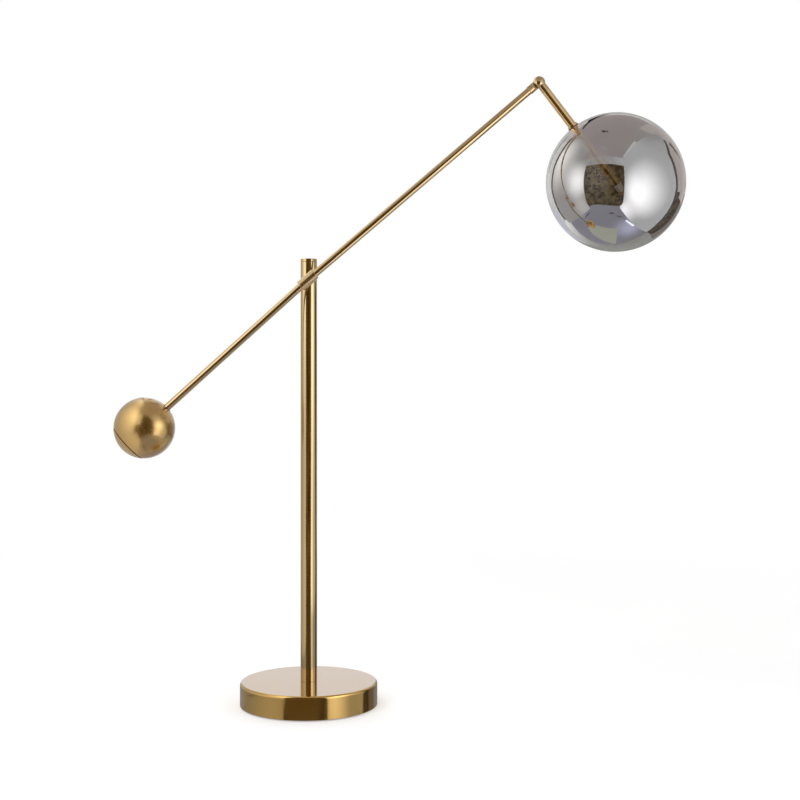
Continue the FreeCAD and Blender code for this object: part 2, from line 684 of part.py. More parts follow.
def knuckle_pieces():
    """Rear half on the arm, front half on the head, one screw and a washer."""
    wire_start = "(d.groove_inner_diameter / 2 + d.wire_clearance / 2)"
    body = fuse(
        half_knuckle("rear", ARM_NECK_RADIUS, "d.arm_neck_start"),
        cylinder(ARM_NECK_RADIUS, "d.arm_neck_length", z=f"-{ARM_NECK_END}"),
        cylinder(
            f"{ARM_BORE_RADIUS} - d.fit_gap", "d.spigot_length",
            z=f"-{ARM_NECK_END} - d.spigot_length",
        ),
    )
    wire_hole = cylinder(
        "d.wire_hole / 2", f"{ARM_NECK_END} + d.spigot_length - {wire_start}",
        y="d.wire_offset", z=f"-{ARM_NECK_END} - d.spigot_length",
    )
    screw_hole = cylinder(
        "d.knuckle_screw_diameter / 2 + d.running_gap", KNUCKLE_RADIUS, rotation=TO_REAR
    )
    head_hole = cylinder(
        "d.knuckle_screw_head / 2 + d.loose_gap", KNUCKLE_RADIUS,
        y=f"{KNUCKLE_RADIUS} - d.knuckle_screw_head_depth", rotation=TO_REAR,
    )
    piece("arm_knuckle", cut(body, wire_hole, screw_hole, head_hole), "arm_knuckle")

    body = fuse(
        half_knuckle("front", HEAD_RADIUS, "d.head_neck_start"),
        cylinder(HEAD_RADIUS, "d.head_neck_length", z="d.head_neck_start"),
        cylinder(f"{HEAD_BORE_RADIUS} - d.fit_gap", "d.spigot_length", z=HEAD_NECK_END),
    )
    wire_hole = cylinder(
        "d.wire_hole / 2", f"{HEAD_NECK_END} + d.spigot_length - {wire_start}",
        y="-d.wire_offset", z=wire_start,
    )
    thread = cylinder(
        "d.knuckle_screw_diameter / 2 + d.fit_gap", "d.knuckle_screw_reach + d.loose_gap",
        rotation=TO_FRONT,
    )
    piece("head_knuckle", cut(body, wire_hole, thread), "head")

    seat = f"({KNUCKLE_RADIUS} - d.knuckle_screw_head_depth + d.running_gap)"
    shank = cylinder(
        "d.knuckle_screw_diameter / 2", f"d.knuckle_screw_reach + {seat}",
        y="-d.knuckle_screw_reach", rotation=TO_REAR,
    )
    head = cylinder(
        "d.knuckle_screw_head / 2", "d.knuckle_screw_head_height", y=seat, rotation=TO_REAR
    )
    key = hexagon(
        "d.knuckle_key_flats", "d.knuckle_key_depth",
        y=f"{seat} + d.knuckle_screw_head_height - d.knuckle_key_depth", rotation=TO_REAR,
    )
    piece("knuckle_screw", cut(fuse(shank, head), key), "head")
    washer = [
        cylinder(
            radius, "d.knuckle_washer_thickness", y="-d.knuckle_washer_thickness / 2",
            rotation=TO_REAR,
        )
        for radius in ("d.groove_inner_diameter / 2", "d.knuckle_screw_diameter / 2 + d.fit_gap")
    ]
    piece("knuckle_washer", cut(*washer), "head")


# ------------------------------------------------------------- head and globe
def head_pieces():
    """Tube through the neck of the globe, with a collar outside and a ring inside."""
    piece("head_tube", ring(HEAD_BORE_RADIUS, HEAD_RADIUS, HEAD_NECK_END, HEAD_TUBE_END), "head")
    bore = f"({HEAD_RADIUS} + d.fit_gap)"
    collar_bottom = f"({COLLAR_TOP} - d.collar_height)"
    collar_radius = "(d.collar_diameter / 2)"
    collar = ring(bore, collar_radius, collar_bottom, COLLAR_TOP)
    rounded(collar, "d.collar_edge", (collar_radius, collar_bottom))
    screw_height = f"({COLLAR_TOP} - d.collar_height / 2)"
    screw_hole = cylinder(
        "d.set_screw_diameter / 2 + d.fit_gap", collar_radius, z=screw_height, rotation=TO_REAR
    )
    piece("globe_collar", cut(collar, screw_hole), "head")
    screw = cylinder(
        "d.set_screw_diameter / 2", f"{collar_radius} - {bore}", y=bore, z=screw_height,
        rotation=TO_REAR,
    )
    piece("collar_set_screw", carried(screw), "head")

    lip = "(d.globe_lip_diameter / 2)"
    waist = f"({GLOBE_HOLE_RADIUS} - d.globe_lip_clearance)"
    piece("globe_grommet", turned([
        (bore, COLLAR_TOP), (lip, COLLAR_TOP), (lip, LIP_OUTER_FACE), (waist, LIP_OUTER_FACE),
        (waist, LIP_INNER_FACE), (lip, LIP_INNER_FACE), (lip, RING_BOTTOM), (bore, RING_BOTTOM),
    ]), "head")
    piece("globe_ring", ring(
        bore, "d.ring_diameter / 2", RING_BOTTOM, f"({RING_BOTTOM} + d.ring_height)"
    ), "head")

    outside = sphere(GLOBE_RADIUS, z="d.head_length")
    inside = sphere(f"{GLOBE_RADIUS} - d.globe_wall", z="d.head_length")
    hole = cylinder(GLOBE_HOLE_RADIUS, "d.head_length")
    piece("glass_globe", cut(outside, inside, hole), "head")


def light_source():
    """Ceramic pin holder in the end of the tube and the small capsule lamp in it."""
    holder = cylinder(
        f"{HEAD_BORE_RADIUS} - d.fit_gap", "d.holder_length", z=f"{HOLDER_END} - d.holder_length"
    )

    def two_pins(radius):
        return [
            cylinder(
                radius, "d.pin_length", x=f"{sign}d.pin_spacing / 2",
                z=f"{HOLDER_END} - d.pin_length",
            )
            for sign in ("-", "")
        ]

    piece("lamp_holder", cut(holder, *two_pins("d.pin_diameter / 2 + d.fit_gap")), "head")
    piece("bulb_pins", carried(*two_pins("d.pin_diameter / 2")), "head")
    piece("bulb_base", carried(cylinder(
        f"{HEAD_BORE_RADIUS} - d.loose_gap", "d.bulb_base_length", z=HOLDER_END
    )), "head")
    radius = "(d.bulb_diameter / 2)"
    barrel = cylinder(radius, f"d.bulb_length - {radius}", z=HEAD_TUBE_END)
    tip = dome(radius, z=f"{HEAD_TUBE_END} + d.bulb_length - {radius}")
    piece("bulb_capsule", fuse(barrel, tip), "head")
    wire_start = "(d.groove_inner_diameter / 2 + d.wire_clearance)"
    piece("head_wire", carried(cylinder(
        WIRE_RADIUS, f"{HOLDER_END} - d.holder_length - {wire_start}",
        y="-d.wire_offset", z=wire_start,
    )), "head")


# ----------------------------------------------------------------------- build
base_pieces()
base_fastening()
cord_inlet()
pole_pieces()
pivot_pieces()
arm_pieces()
counterweight_pieces()
knuckle_pieces()
head_pieces()
light_source()
doc.recompute()

failed = [o.Label for o in doc.Objects if "Invalid" in o.State or "Error" in o.State]
if failed:
    raise RuntimeError(f"features that did not build: {failed}")
for part in pieces:
    if part.Shape.isNull() or not part.Shape.isValid() or not part.Shape.Solids:
        raise RuntimeError(f"{part.Label} has no sound shape")

os.makedirs("parts", exist_ok=True)
for part in pieces:
    part.Shape.exportStep(f"parts/{part.Label}.step")
    print(f"{part.Label:24s} solids {len(part.Shape.Solids)}  {part.Shape.Volume:12.2f} mm3")
print(len(pieces), "sub-parts")
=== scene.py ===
from math import asin, cos, degrees, pi, radians, sin, sqrt

import bpy
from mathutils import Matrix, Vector


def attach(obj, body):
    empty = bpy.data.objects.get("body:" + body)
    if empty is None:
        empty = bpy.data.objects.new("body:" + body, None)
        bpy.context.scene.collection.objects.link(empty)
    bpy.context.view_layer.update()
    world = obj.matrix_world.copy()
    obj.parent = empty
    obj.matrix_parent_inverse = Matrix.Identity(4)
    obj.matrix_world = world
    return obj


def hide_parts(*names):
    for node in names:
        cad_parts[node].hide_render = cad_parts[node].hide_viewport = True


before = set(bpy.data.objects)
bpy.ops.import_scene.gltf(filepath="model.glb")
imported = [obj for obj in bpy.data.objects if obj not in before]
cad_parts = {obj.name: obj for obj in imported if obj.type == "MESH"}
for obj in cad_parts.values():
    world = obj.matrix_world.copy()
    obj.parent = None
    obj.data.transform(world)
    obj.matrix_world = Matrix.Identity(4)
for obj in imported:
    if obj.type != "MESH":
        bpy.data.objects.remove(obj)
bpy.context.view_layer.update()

# ------------------------------------------------------------------ camera
# A level camera in front of the lamp, a little to the right of the pole, with a
# long lens.  Its frame is lowered slightly so that the foot keeps its margin.
camera_data = bpy.data.cameras.new("camera")
camera_data.lens = 64.679
camera_data.sensor_width = 36
camera_data.shift_y = -0.0625
camera = bpy.data.objects.new("camera", camera_data)
camera.location = (0.0997, -1.5717, 0.3874)
camera.rotation_euler = (radians(90), 0, 0)
bpy.context.scene.collection.objects.link(camera)
bpy.context.scene.camera = camera
bpy.context.scene.view_settings.view_transform = "Standard"


# ------------------------------------------------------------------- floor
# A wide sheet of white paper.  Close to the lamp it is plain matt paper that
# takes the shadow of the foot; further out it runs into the white background.
FLOOR_REACH = 30
MATT_REACH = 0.5
FADE_LENGTH = 0.8
PAPER_FILL = 0.26


class Signal:
    """A value on its way through a finish; arithmetic on it adds Math nodes."""

    def __init__(self, tree, socket):
        self.tree, self.socket = tree, socket

    def node(self, kind, settings={}, sockets={}, outlet=0):
        """Any node: its settings, what its sockets take, and which outlet is used."""
        made = self.tree.nodes.new(kind)
        for name, value in settings.items():
            setattr(made, name, value)
        for name, value in sockets.items():
            if isinstance(value, Signal):
                self.tree.links.new(value.socket, made.inputs[name])
            else:
                made.inputs[name].default_value = value
        return Signal(self.tree, made.outputs[outlet] if made.outputs else None)

    def reckon(self, operation, first, second, clamp=False):
        settings = {"operation": operation, "use_clamp": clamp}
        return self.node("ShaderNodeMath", settings, {0: first, 1: second})

    def vector(self, operation, sockets, outlet=0):
        return self.node("ShaderNodeVectorMath", {"operation": operation}, sockets, outlet)

    def noise(self, scale, detail):
        """Soft patches, read at the coordinates that this signal carries."""
        sockets = {"Vector": self, "Scale": scale, "Detail": detail}
        return self.node("ShaderNodeTexNoise", {}, sockets)

    def blend(self, share, first, second):
        """One colour turning into another as the share goes from 0 to 1."""
        pair = [c if isinstance(c, Signal) else (*c, 1) for c in (first, second)]
        sockets = {0: share, 6: pair[0], 7: pair[1]}
        return self.node("ShaderNodeMix", {"data_type": "RGBA"}, sockets, 2)

    def __add__(self, other):
        return self.reckon("ADD", self, other)

    def __sub__(self, other):
        return self.reckon("SUBTRACT", self, other)

    def __rsub__(self, other):
        return self.reckon("SUBTRACT", other, self)

    def __mul__(self, other):
        return self.reckon("MULTIPLY", self, other)

    __radd__ = __add__
    __rmul__ = __mul__


def start_finish(name):
    """A new material and the place on the piece that its pattern reads."""
    material = bpy.data.materials.new(name)
    material.use_nodes = True
    material.node_tree.nodes.clear()
    place = Signal(material.node_tree, None).node("ShaderNodeTexCoord", outlet=3)
    return material, place


def end_finish(surface):
    """The last step of a finish: the surface that the material shows."""
    surface.node("ShaderNodeOutputMaterial", {}, {"Surface": surface})


def seen_rays(signal):
    """1 for what the camera sees straight, in metal or through glass, else 0."""
    seen = [
        signal.node("ShaderNodeLightPath", outlet=name)
        for name in ("Is Camera Ray", "Is Glossy Ray", "Is Transmission Ray")
    ]
    return signal.reckon("ADD", seen[0] + seen[1], seen[2], clamp=True)


paper, place = start_finish("white_paper")
away = place.vector("LENGTH", {0: place}, 1)
fibres = place.noise(900.0, 2.0)
matt = place.node("ShaderNodeBsdfPrincipled", {}, {
    "Base Color": place.blend(fibres, (0.86, 0.86, 0.86), (0.88, 0.88, 0.88)),
    "Roughness": 0.9,
    "Emission Color": (1, 1, 1, 1),
    "Emission Strength": seen_rays(place) * PAPER_FILL,
})
glow = place.node("ShaderNodeEmission", {}, {"Color": (1, 1, 1, 1), "Strength": 1.0})
fade = place.reckon("MULTIPLY", away - MATT_REACH, 1 / FADE_LENGTH, clamp=True)
shares = {0: fade * seen_rays(place), 1: matt, 2: glow}
end_finish(place.node("ShaderNodeMixShader", {}, shares))

bpy.ops.object.select_all(action="DESELECT")
bpy.ops.mesh.primitive_circle_add(vertices=96, radius=FLOOR_REACH, fill_type="NGON")
floor = bpy.context.object
floor.name = "floor"
floor.data.materials.append(paper)

# -------------------------------------------------------------- soft light
# An even surround and one wide lamp high on the left.  For matt things the
# surround is dimmer than white; metal, glass and the camera see it white.
MATT_LIGHT = 0.72

world = bpy.data.worlds.new("surround")
bpy.context.scene.world = world
world.use_nodes = True
world.node_tree.nodes.clear()
air = Signal(world.node_tree, None)
strength = MATT_LIGHT + (1 - MATT_LIGHT) * seen_rays(air)
surround = air.node("ShaderNodeBackground", {}, {"Color": (1, 1, 1, 1), "Strength": strength})
air.node("ShaderNodeOutputWorld", {}, {"Surface": surround})

lamp_data = bpy.data.lights.new("soft_lamp", "AREA")
lamp_data.shape = "DISK"
lamp_data.size = 1.8
lamp_data.energy = 14
soft_lamp = bpy.data.objects.new("soft_lamp", lamp_data)
soft_lamp.location = (-0.7, -0.9, 2.3)
lit_place = Vector((0, 0, 0.3))
aim = (lit_place - soft_lamp.location).to_track_quat("-Z", "Y")
soft_lamp.rotation_euler = aim.to_euler()
soft_lamp.visible_camera = False
soft_lamp.visible_glossy = False
soft_lamp.visible_transmission = False
bpy.context.scene.collection.objects.link(soft_lamp)

# --------------------------------------------------------- reflector cards
# Cards that only the lamp's metal and glass show: a white tent with a lit
# screen on either side, a dark opening in front and a pale back, on a table.
MOTTLE_FROM, MOTTLE_STEP = 0.4, 5.0
MIRROR_FROM, MIRROR_STEP = 0.62, 8.0


def card(name, rows, colour, glows=(), mottle=None, glossy=False):
    """A card through rows of points; each glow on it is (centre, reach, colour).
    A glossy one turns into a mirror where it is seen from a low angle."""
    glowing, place = start_finish(name)
    tone = colour
    if mottle:
        patches = place.noise(13.0, 5.0) - MOTTLE_FROM
        share = place.reckon("MULTIPLY", patches, MOTTLE_STEP, clamp=True)
        tone = place.blend(share, tone, mottle)
    for centre, reach, peak in glows:
        off = place.vector("DISTANCE", {0: place, 1: centre}, 1)
        near = 1 - place.reckon("MULTIPLY", off, 1 / reach, clamp=True)
        tone = place.blend(near * near * (3 - 2 * near), tone, peak)
    light = place.node("ShaderNodeEmission", {}, {
        "Color": tone if isinstance(tone, Signal) else (*tone, 1),
        "Strength": 1.0,
    })
    if glossy:
        slant = place.node("ShaderNodeLayerWeight", {}, {"Blend": 0.5}, 1)
        low = place.reckon("MULTIPLY", slant - MIRROR_FROM, MIRROR_STEP, clamp=True)
        mirror = place.node("ShaderNodeBsdfGlossy", {}, {
            "Color": (0.57, 0.57, 0.57, 1),
            "Roughness": 0.05,
        })
        light = place.node("ShaderNodeMixShader", {}, {0: low, 1: light, 2: mirror})
    end_finish(light)
    wide = len(rows[0])
    corners = [point for row in rows for point in row]
    squares = [
        (r * wide + i, r * wide + i + 1, (r + 1) * wide + i + 1, (r + 1) * wide + i)
        for r in range(len(rows) - 1)
        for i in range(wide - 1)
    ]
    mesh = bpy.data.meshes.new(name)
    mesh.from_pydata(corners, [], squares)
    mesh.materials.append(glowing)
    sheet = bpy.data.objects.new(name, mesh)
    bpy.context.scene.collection.objects.link(sheet)
    for ray in ("camera", "diffuse", "volume_scatter", "shadow"):
        setattr(sheet, "visible_" + ray, False)
    return sheet


LEFT_CORNER, RIGHT_CORNER = (-0.250, -0.310), (0.418, -0.610)
FRONT_SLANT, LEFT_SLANT, RIGHT_SLANT = -0.449, -0.056, 0.389


def on_front(x, z):
    """A place on the front wall, which runs from corner to corner."""
    return (x, LEFT_CORNER[1] + FRONT_SLANT * (x - LEFT_CORNER[0]), z)


def on_left(y, z):
    return (LEFT_CORNER[0] + LEFT_SLANT * (y - LEFT_CORNER[1]), y, z)


def on_right(y, z):
    return (RIGHT_CORNER[0] + RIGHT_SLANT * (y - RIGHT_CORNER[1]), y, z)


def row_on(wall, *places):
    """A row of points on a wall, each given by its place along it and its height."""
    return [wall(along_wall, height) for along_wall, height in places]


def level(z, *points):
    return [(x, y, z) for x, y in points]


def shifted(row, x, y, z):
    return [(p[0] + x, p[1] + y, p[2] + z) for p in row]


def upright(start, end, bottom, top):
    """A plain upright wall over a line on the ground."""
    return [[(*start, bottom), (*end, bottom)], [(*start, top), (*end, top)]]


GLOBE_FRONT = (0.315, -0.09, 0.57)


def further(point, times=1.3):
    """The same place seen from the front of the globe, but further away."""
    return tuple(eye + times * (end - eye) for eye, end in zip(GLOBE_FRONT, point))


CEILING_HEIGHT, UNDER_CEILING, BACK_TOP = 1.4, 1.39, 1.6
TENT_FRONT, TENT_BACK = -1.12, 1.12
BACK_STEP = 0.42
CEILING = (0.47, 0.42, 0.40)
DARK_ROOM = (0.035, 0.023, 0.007)
LIT_ROOM = (0.16, 0.115, 0.05)

# The front wall: a dark opening with a lintel over it, seen in front.
opening_foot = row_on(
    on_front, (-0.25, 0.03), (-0.15, 0.12), (-0.024, 0.156), (0.165, 0.115), (0.392, 0.02)
)
opening_head = row_on(
    on_front, (-0.159, 0.772), (-0.03, 0.77), (0.10, 0.768), (0.24, 0.763), (0.375, 0.757)
)
lintel_top = row_on(
    on_front, (-0.123, 0.908), (0.0, 0.907), (0.13, 0.905), (0.27, 0.902), (0.40, 0.90)
)
card("front_opening", [opening_foot, opening_head], DARK_ROOM, mottle=LIT_ROOM)
card("front_far", upright((-0.8, TENT_FRONT), (0.9, TENT_FRONT), 0.0, 0.6), (0.18, 0.125, 0.045))
card("front_lintel", [opening_head, lintel_top], (0.48, 0.46, 0.45), [
    (on_front(0.36, 0.83), 0.25, (0.74, 0.74, 0.73)),
])
front_top = [row_on(on_front, (-0.5, z), (0.6, z)) for z in (0.904, CEILING_HEIGHT)]
card("front_top", front_top, CEILING)

# The left screen, lit from behind in three places, and what shows past it.
left_front = [
    *row_on(on_front, (-0.222, 0.0), (-0.224, 0.12)),
    *map(further, row_on(
        on_front, (-0.216, 0.308), (-0.2, 0.44), (-0.183, 0.577),
        (-0.17, 0.68), (-0.159, 0.772), (-0.123, 0.908),
    )),
    on_front(-0.208, 1.157),
    on_left(0.0, UNDER_CEILING),
]
left_back = row_on(
    on_left, (0.62, 0.0), (0.61, 0.1), (0.59, 0.239), (0.53, 0.41), (0.55, 0.55),
    (0.48, 0.698), (0.465, 0.79), (0.44, 0.92), (0.433, 1.067), (0.56, UNDER_CEILING),
)
card("left_screen", list(zip(left_front, left_back)), (0.52, 0.51, 0.49), [
    ((-0.283, 0.27, 0.90), 0.52, (1.55, 1.50, 1.43)),
    ((-0.262, -0.19, 0.12), 0.30, (0.90, 0.88, 0.83)),
    ((-0.365, -0.26, 0.56), 0.42, (1.95, 1.93, 1.88)),
])
left_edge = left_back[1:]
card("left_edge", [left_edge, shifted(left_edge, -0.008, 0.12, 0)], (0.10, 0.09, 0.07))
left_outside = upright((-0.42, -0.5), (-0.42, TENT_BACK), 0.0, BACK_TOP)
card("left_outside", left_outside, (0.95, 0.94, 0.91))

# The right screen, larger and brighter, with its seams and a dark chest past it.
right_back = row_on(
    on_right, (0.21, 0.0), (0.184, 0.06), (0.10, 0.23), (0.062, 0.349), (0.042, 0.456),
    (0.022, 0.55), (-0.01, 0.63), (-0.018, 0.74), (0.13, 0.90),
)
right_front = row_on(
    on_front, (0.33, 0.0), (0.34, 0.05), (0.37, 0.09), (0.389, 0.13), (0.383, 0.50),
    (0.379, 0.66), (0.376, 0.74), (0.38, 0.82), (0.40, 0.90),
)
right_crown = row_on(on_right, (-0.44, 0.985), (0.20, 0.97))
right_peak = row_on(on_right, (-0.278, 1.02), (0.10, 1.02))
right_rows = [*zip(right_front, right_back), right_crown, right_peak]
card("right_screen", right_rows, (0.72, 0.73, 0.73), [
    ((0.66, 0.05, 1.0), 0.42, (0.42, 0.42, 0.40)),
    ((0.46, -0.47, 0.05), 0.33, (2.1, 2.07, 2.1)),
    ((0.515, -0.36, 0.42), 0.37, (2.5, 2.5, 2.5)),
])
card("right_edge", [right_back, shifted(right_back, 0.017, 0.044, 0)], (0.07, 0.07, 0.06))
right_seam = [on_front(0.39, 0.90), right_crown[0], right_peak[0]]
card("right_seam", [right_seam, shifted(right_seam, -0.02, 0, 0.04)], (0.85, 0.82, 0.80))
right_top = upright((0.44, -0.62), (0.79, 0.27), 0.88, CEILING_HEIGHT)
card("right_top", right_top, (0.47, 0.44, 0.41))
right_line = [
    (0.745, 0.21, 0.86), (0.75, 0.22, 0.796), (0.79, 0.35, 0.72), (0.81, 0.42, 0.643),
    (0.86, 0.66, 0.60),
]
chest_near, chest_far, shelf_end = (0.69, 0.03), (0.82, 0.45), (0.95, TENT_BACK)
card("right_chest", [
    [(*chest_near, 0.0), (*chest_far, 0.0)],
    [(*chest_near, 0.522), (*chest_far, 0.56)],
], (0.05, 0.042, 0.033), mottle=(0.15, 0.115, 0.085))
card("right_shelf", [
    [(*chest_far, 0.0), (*shelf_end, 0.0)],
    [(*chest_far, 0.56), (*shelf_end, 0.62)],
], (0.26, 0.23, 0.215))
right_outside = upright((0.70, 0.03), (0.97, TENT_BACK), 0.50, BACK_TOP)
card("right_outside", right_outside, (0.62, 0.56, 0.53))
card("right_line", [right_line, shifted(right_line, 0.01, 0.10, 0.03)], (0.15, 0.13, 0.11))

# The pale back, and a darker card that only shows through the smoked glass.
backdrop_low = upright((-0.95, TENT_BACK), (0.22, TENT_BACK), 0.0, BACK_STEP)
card("backdrop_low", backdrop_low, (0.80, 0.82, 0.92))
backdrop_right = upright((0.22, TENT_BACK), (0.95, TENT_BACK), 0.0, BACK_STEP)
card("backdrop_right", backdrop_right, (0.40, 0.40, 0.38))
backdrop_high = upright((-0.95, TENT_BACK), (0.95, TENT_BACK), BACK_STEP, BACK_TOP)
card("backdrop_high", backdrop_high, (0.62, 0.61, 0.59), [
    ((-0.6, 1.1, 0.8), 1.1, (1.05, 1.05, 1.02)),
])
behind_globe = upright((-0.1, 1.105), (0.95, 1.105), 0.0, UNDER_CEILING)
card("behind_globe", behind_globe, (0.07, 0.06, 0.05)).visible_glossy = False
backdrop_line = upright((-0.25, 1.11), (-0.19, 1.11), 0.80, UNDER_CEILING)
card("backdrop_line", backdrop_line, (0.15, 0.13, 0.11))

# The ceiling, with a line where it ends, a gap at the back and a small fitting.
ceiling_edge = level(
    CEILING_HEIGHT, (-0.6, 0.45), (0.0, 0.78), (0.25, 0.83), (0.55, 0.82), (0.85, 0.78), (1.2, 0.58)
)
card("ceiling", [[(x, -0.85, z) for x, y, z in ceiling_edge], ceiling_edge], CEILING)
ceiling_end = [(x, 2.0, z) for x, y, z in ceiling_edge]
card("ceiling_back", [ceiling_edge, ceiling_end], (0.78, 0.75, 0.73))
ceiling_line = shifted(ceiling_edge[2:], 0, 0, -0.005)
card("ceiling_line", [ceiling_line, shifted(ceiling_line, 0, 0.03, 0)], (0.27, 0.26, 0.24))
card("ceiling_gap", [
    level(1.394, (-0.05, 0.49), (0.155, 0.72), (0.30, 0.90), (0.45, 1.06)),
    level(1.394, (-0.06, 0.53), (0.12, 0.83), (0.20, 1.11), (0.40, 1.115)),
], (0.02, 0.02, 0.02))
card("ceiling_fitting", [
    level(UNDER_CEILING, (0.10, 0.0), (0.14, -0.03), (0.20, -0.10)),
    level(UNDER_CEILING, (0.12, -0.11), (0.16, -0.09), (0.19, -0.15)),
], (0.03, 0.03, 0.03))

# The table, each thing on it a little above the last: cloth, mat, line, folds.
CLOTH_TOP, MAT_TOP, LINE_TOP, FOLD_TOP = 0.0005, 0.0007, 0.0008, 0.001
table_edge = [(-0.45, 0.52), (-0.05, 0.50), (0.20, 0.47), (0.36, 0.38), (0.56, 0.23), (0.80, 0.18)]
cloth_end = level(CLOTH_TOP, *table_edge)
card("table", [[(x, TENT_FRONT, z) for x, y, z in cloth_end], cloth_end], (0.36, 0.355, 0.41), [
    ((-0.25, -0.02, 0), 0.20, (0.52, 0.49, 0.52)),
    ((0.50, -0.10, 0), 0.28, (0.75, 0.77, 1.0)),
], glossy=True)
table_end = [(x * 1.2, TENT_BACK, z) for x, y, z in cloth_end]
card("table_back", [cloth_end, table_end], (0.44, 0.44, 0.41), [
    ((-0.40, 0.8, 0), 0.8, (1.25, 1.25, 1.22)),
], glossy=True)
table_line = level(LINE_TOP, *table_edge[1:])
card("table_line", [table_line, shifted(table_line, 0, 0.018, 0)], (0.30, 0.28, 0.20), glossy=True)
card("table_mat", [
    level(MAT_TOP, (-0.134, -0.012), (0.347, -0.099)),
    level(MAT_TOP, (0.095, 0.199), (0.386, 0.338)),
], (0.575, 0.59, 0.48), glossy=True)
card("cloth_light", [
    level(FOLD_TOP, (0.43, -0.245), (0.54, -0.10)),
    level(FOLD_TOP, (0.455, -0.26), (0.565, -0.12)),
], (1.9, 1.95, 2.05), glossy=True)
for name, points in (
    ("left_crease", ((-0.21, -0.26), (-0.17, -0.20), (-0.175, -0.10), (-0.15, -0.02))),
    ("right_crease", ((0.16, -0.40), (0.24, -0.42), (0.30, -0.36), (0.38, -0.34), (0.455, -0.226))),
):
    crease = level(FOLD_TOP, *points)
    card(name, [crease, shifted(crease, 0.018, 0.022, 0)], (0.05, 0.05, 0.07), glossy=True)


# -------------------------------------------------------------- base cover
# A drum spun from 1.2 mm brass sheet, turned true on the rim and top, then
# buffed and lacquered.  The rubber cord inlet goes through its rear wall.
def turned(name, outline, start, heading, steps=128):
    """Draws an outline of (radius, distance along the axis) and spins it round."""
    bpy.ops.object.select_all(action="DESELECT")
    bpy.ops.mesh.primitive_plane_add(size=0.001)
    shape = bpy.context.object
    shape.name = name
    bpy.ops.object.mode_set(mode="EDIT")
    bpy.ops.mesh.merge(type="CENTER")
    here = Vector((outline[0][0], 0, outline[0][1]))
    bpy.ops.transform.translate(value=here)
    for radius, height in outline[1:]:
        there = Vector((radius, 0, height))
        bpy.ops.mesh.extrude_vertices_move(TRANSFORM_OT_translate={"value": there - here})
        here = there
    bpy.ops.mesh.select_all(action="SELECT")
    bpy.ops.mesh.spin(steps=steps, angle=2 * pi, center=(0, 0, 0), axis=(0, 0, 1))
    bpy.ops.mesh.select_all(action="SELECT")
    bpy.ops.mesh.remove_doubles(threshold=1e-6)
    bpy.ops.mesh.normals_make_consistent(inside=False)
    bpy.ops.object.mode_set(mode="OBJECT")
    shape.rotation_mode = "QUATERNION"
    shape.rotation_quaternion = Vector(UP).rotation_difference(Vector(heading))
    shape.location = start
    bpy.ops.object.transform_apply(location=True, rotation=True, scale=True)
    bpy.ops.object.shade_smooth_by_angle(angle=SHARP_EDGE)
    return shape


def even_shading(shape):
    """Flat and straight faces keep their own shading next to a rounded edge."""
    bpy.context.view_layer.objects.active = shape
    shape.modifiers.new("even", "WEIGHTED_NORMAL").keep_sharp = True
    bpy.ops.object.modifier_apply(modifier="even")


def arc(centre, radius, first, last, steps):
    """Points of an outline on a round from one angle to another, in degrees."""
    angles = [radians(first + (last - first) * i / steps) for i in range(steps + 1)]
    return [(centre[0] + radius * cos(a), centre[1] + radius * sin(a)) for a in angles]


UP = (0, 0, 1)
TABLE_CENTRE = (0, 0, 0)
SHARP_EDGE = radians(32)
BRASS = (0.74, 0.485, 0.145)
DEEP_BRASS = (0.66, 0.40, 0.10)
LINES_PER_METRE = 2600.0


def brass_finish(name, grain, roughness, relief, tones=(DEEP_BRASS, BRASS), lacquer=1.5):
    """Lacquered brass; grain gives the coordinates in which its fine lines run."""
    metal, place = start_finish(name)
    lines = grain(place)
    tone = place.noise(14.0, 3.0)
    fine = lines.noise(1.0, 2.0)
    handled = place.noise(60.0, 4.0)
    relief_sockets = {"Strength": relief, "Distance": 0.0001, "Height": fine}
    end_finish(place.node("ShaderNodeBsdfPrincipled", {}, {
        "Base Color": place.blend(tone * 0.7 + fine * 0.3, *tones),
        "Metallic": 1.0,
        "Roughness": roughness * (0.7 + 0.35 * handled + 0.25 * fine),
        "Normal": place.node("ShaderNodeBump", {}, relief_sockets),
        "Coat Weight": 1.0,
        "Coat Roughness": roughness * 0.5,
        "Coat IOR": lacquer,
    }))
    return metal


def round_the_axis(place):
    """Fine circles, as a lathe leaves them: the same all the way round."""
    flat = place.vector("MULTIPLY", {0: place, 1: (1, 1, 0)})
    radius = place.vector("LENGTH", {0: flat}, 1)
    height = place.node("ShaderNodeSeparateXYZ", {}, {0: place}, 2)
    sockets = {0: radius * LINES_PER_METRE, 1: height * LINES_PER_METRE, 2: 0.0}
    return place.node("ShaderNodeCombineXYZ", {}, sockets)


BASE_RADIUS, BASE_HEIGHT, BASE_REVEAL = 0.075, 0.026, 0.001
RIM, WALL, TOP, LIP = 0.003, 0.0012, 0.0015, 0.0004
NIPPLE_HOLE = 0.0052
INLET_RADIUS, INLET_HEIGHT = 0.00492, 0.0105
cover = turned("cover_shell", [
    (NIPPLE_HOLE, BASE_HEIGHT),
    *arc((BASE_RADIUS - RIM, BASE_HEIGHT - RIM), RIM, 90, 0, 12),
    *arc((BASE_RADIUS - LIP, BASE_REVEAL + LIP), LIP, 0, -90, 3),
    (BASE_RADIUS - WALL, BASE_REVEAL),
    *arc((BASE_RADIUS - RIM, BASE_HEIGHT - TOP - (RIM - WALL)), RIM - WALL, 0, 90, 6),
    (NIPPLE_HOLE, BASE_HEIGHT - TOP),
    (NIPPLE_HOLE, BASE_HEIGHT),
], TABLE_CENTRE, UP, 256)
bpy.ops.mesh.primitive_cylinder_add(
    vertices=64, radius=INLET_RADIUS, depth=0.02,
    location=(0, 0.0745, INLET_HEIGHT), rotation=(radians(90), 0, 0),
)
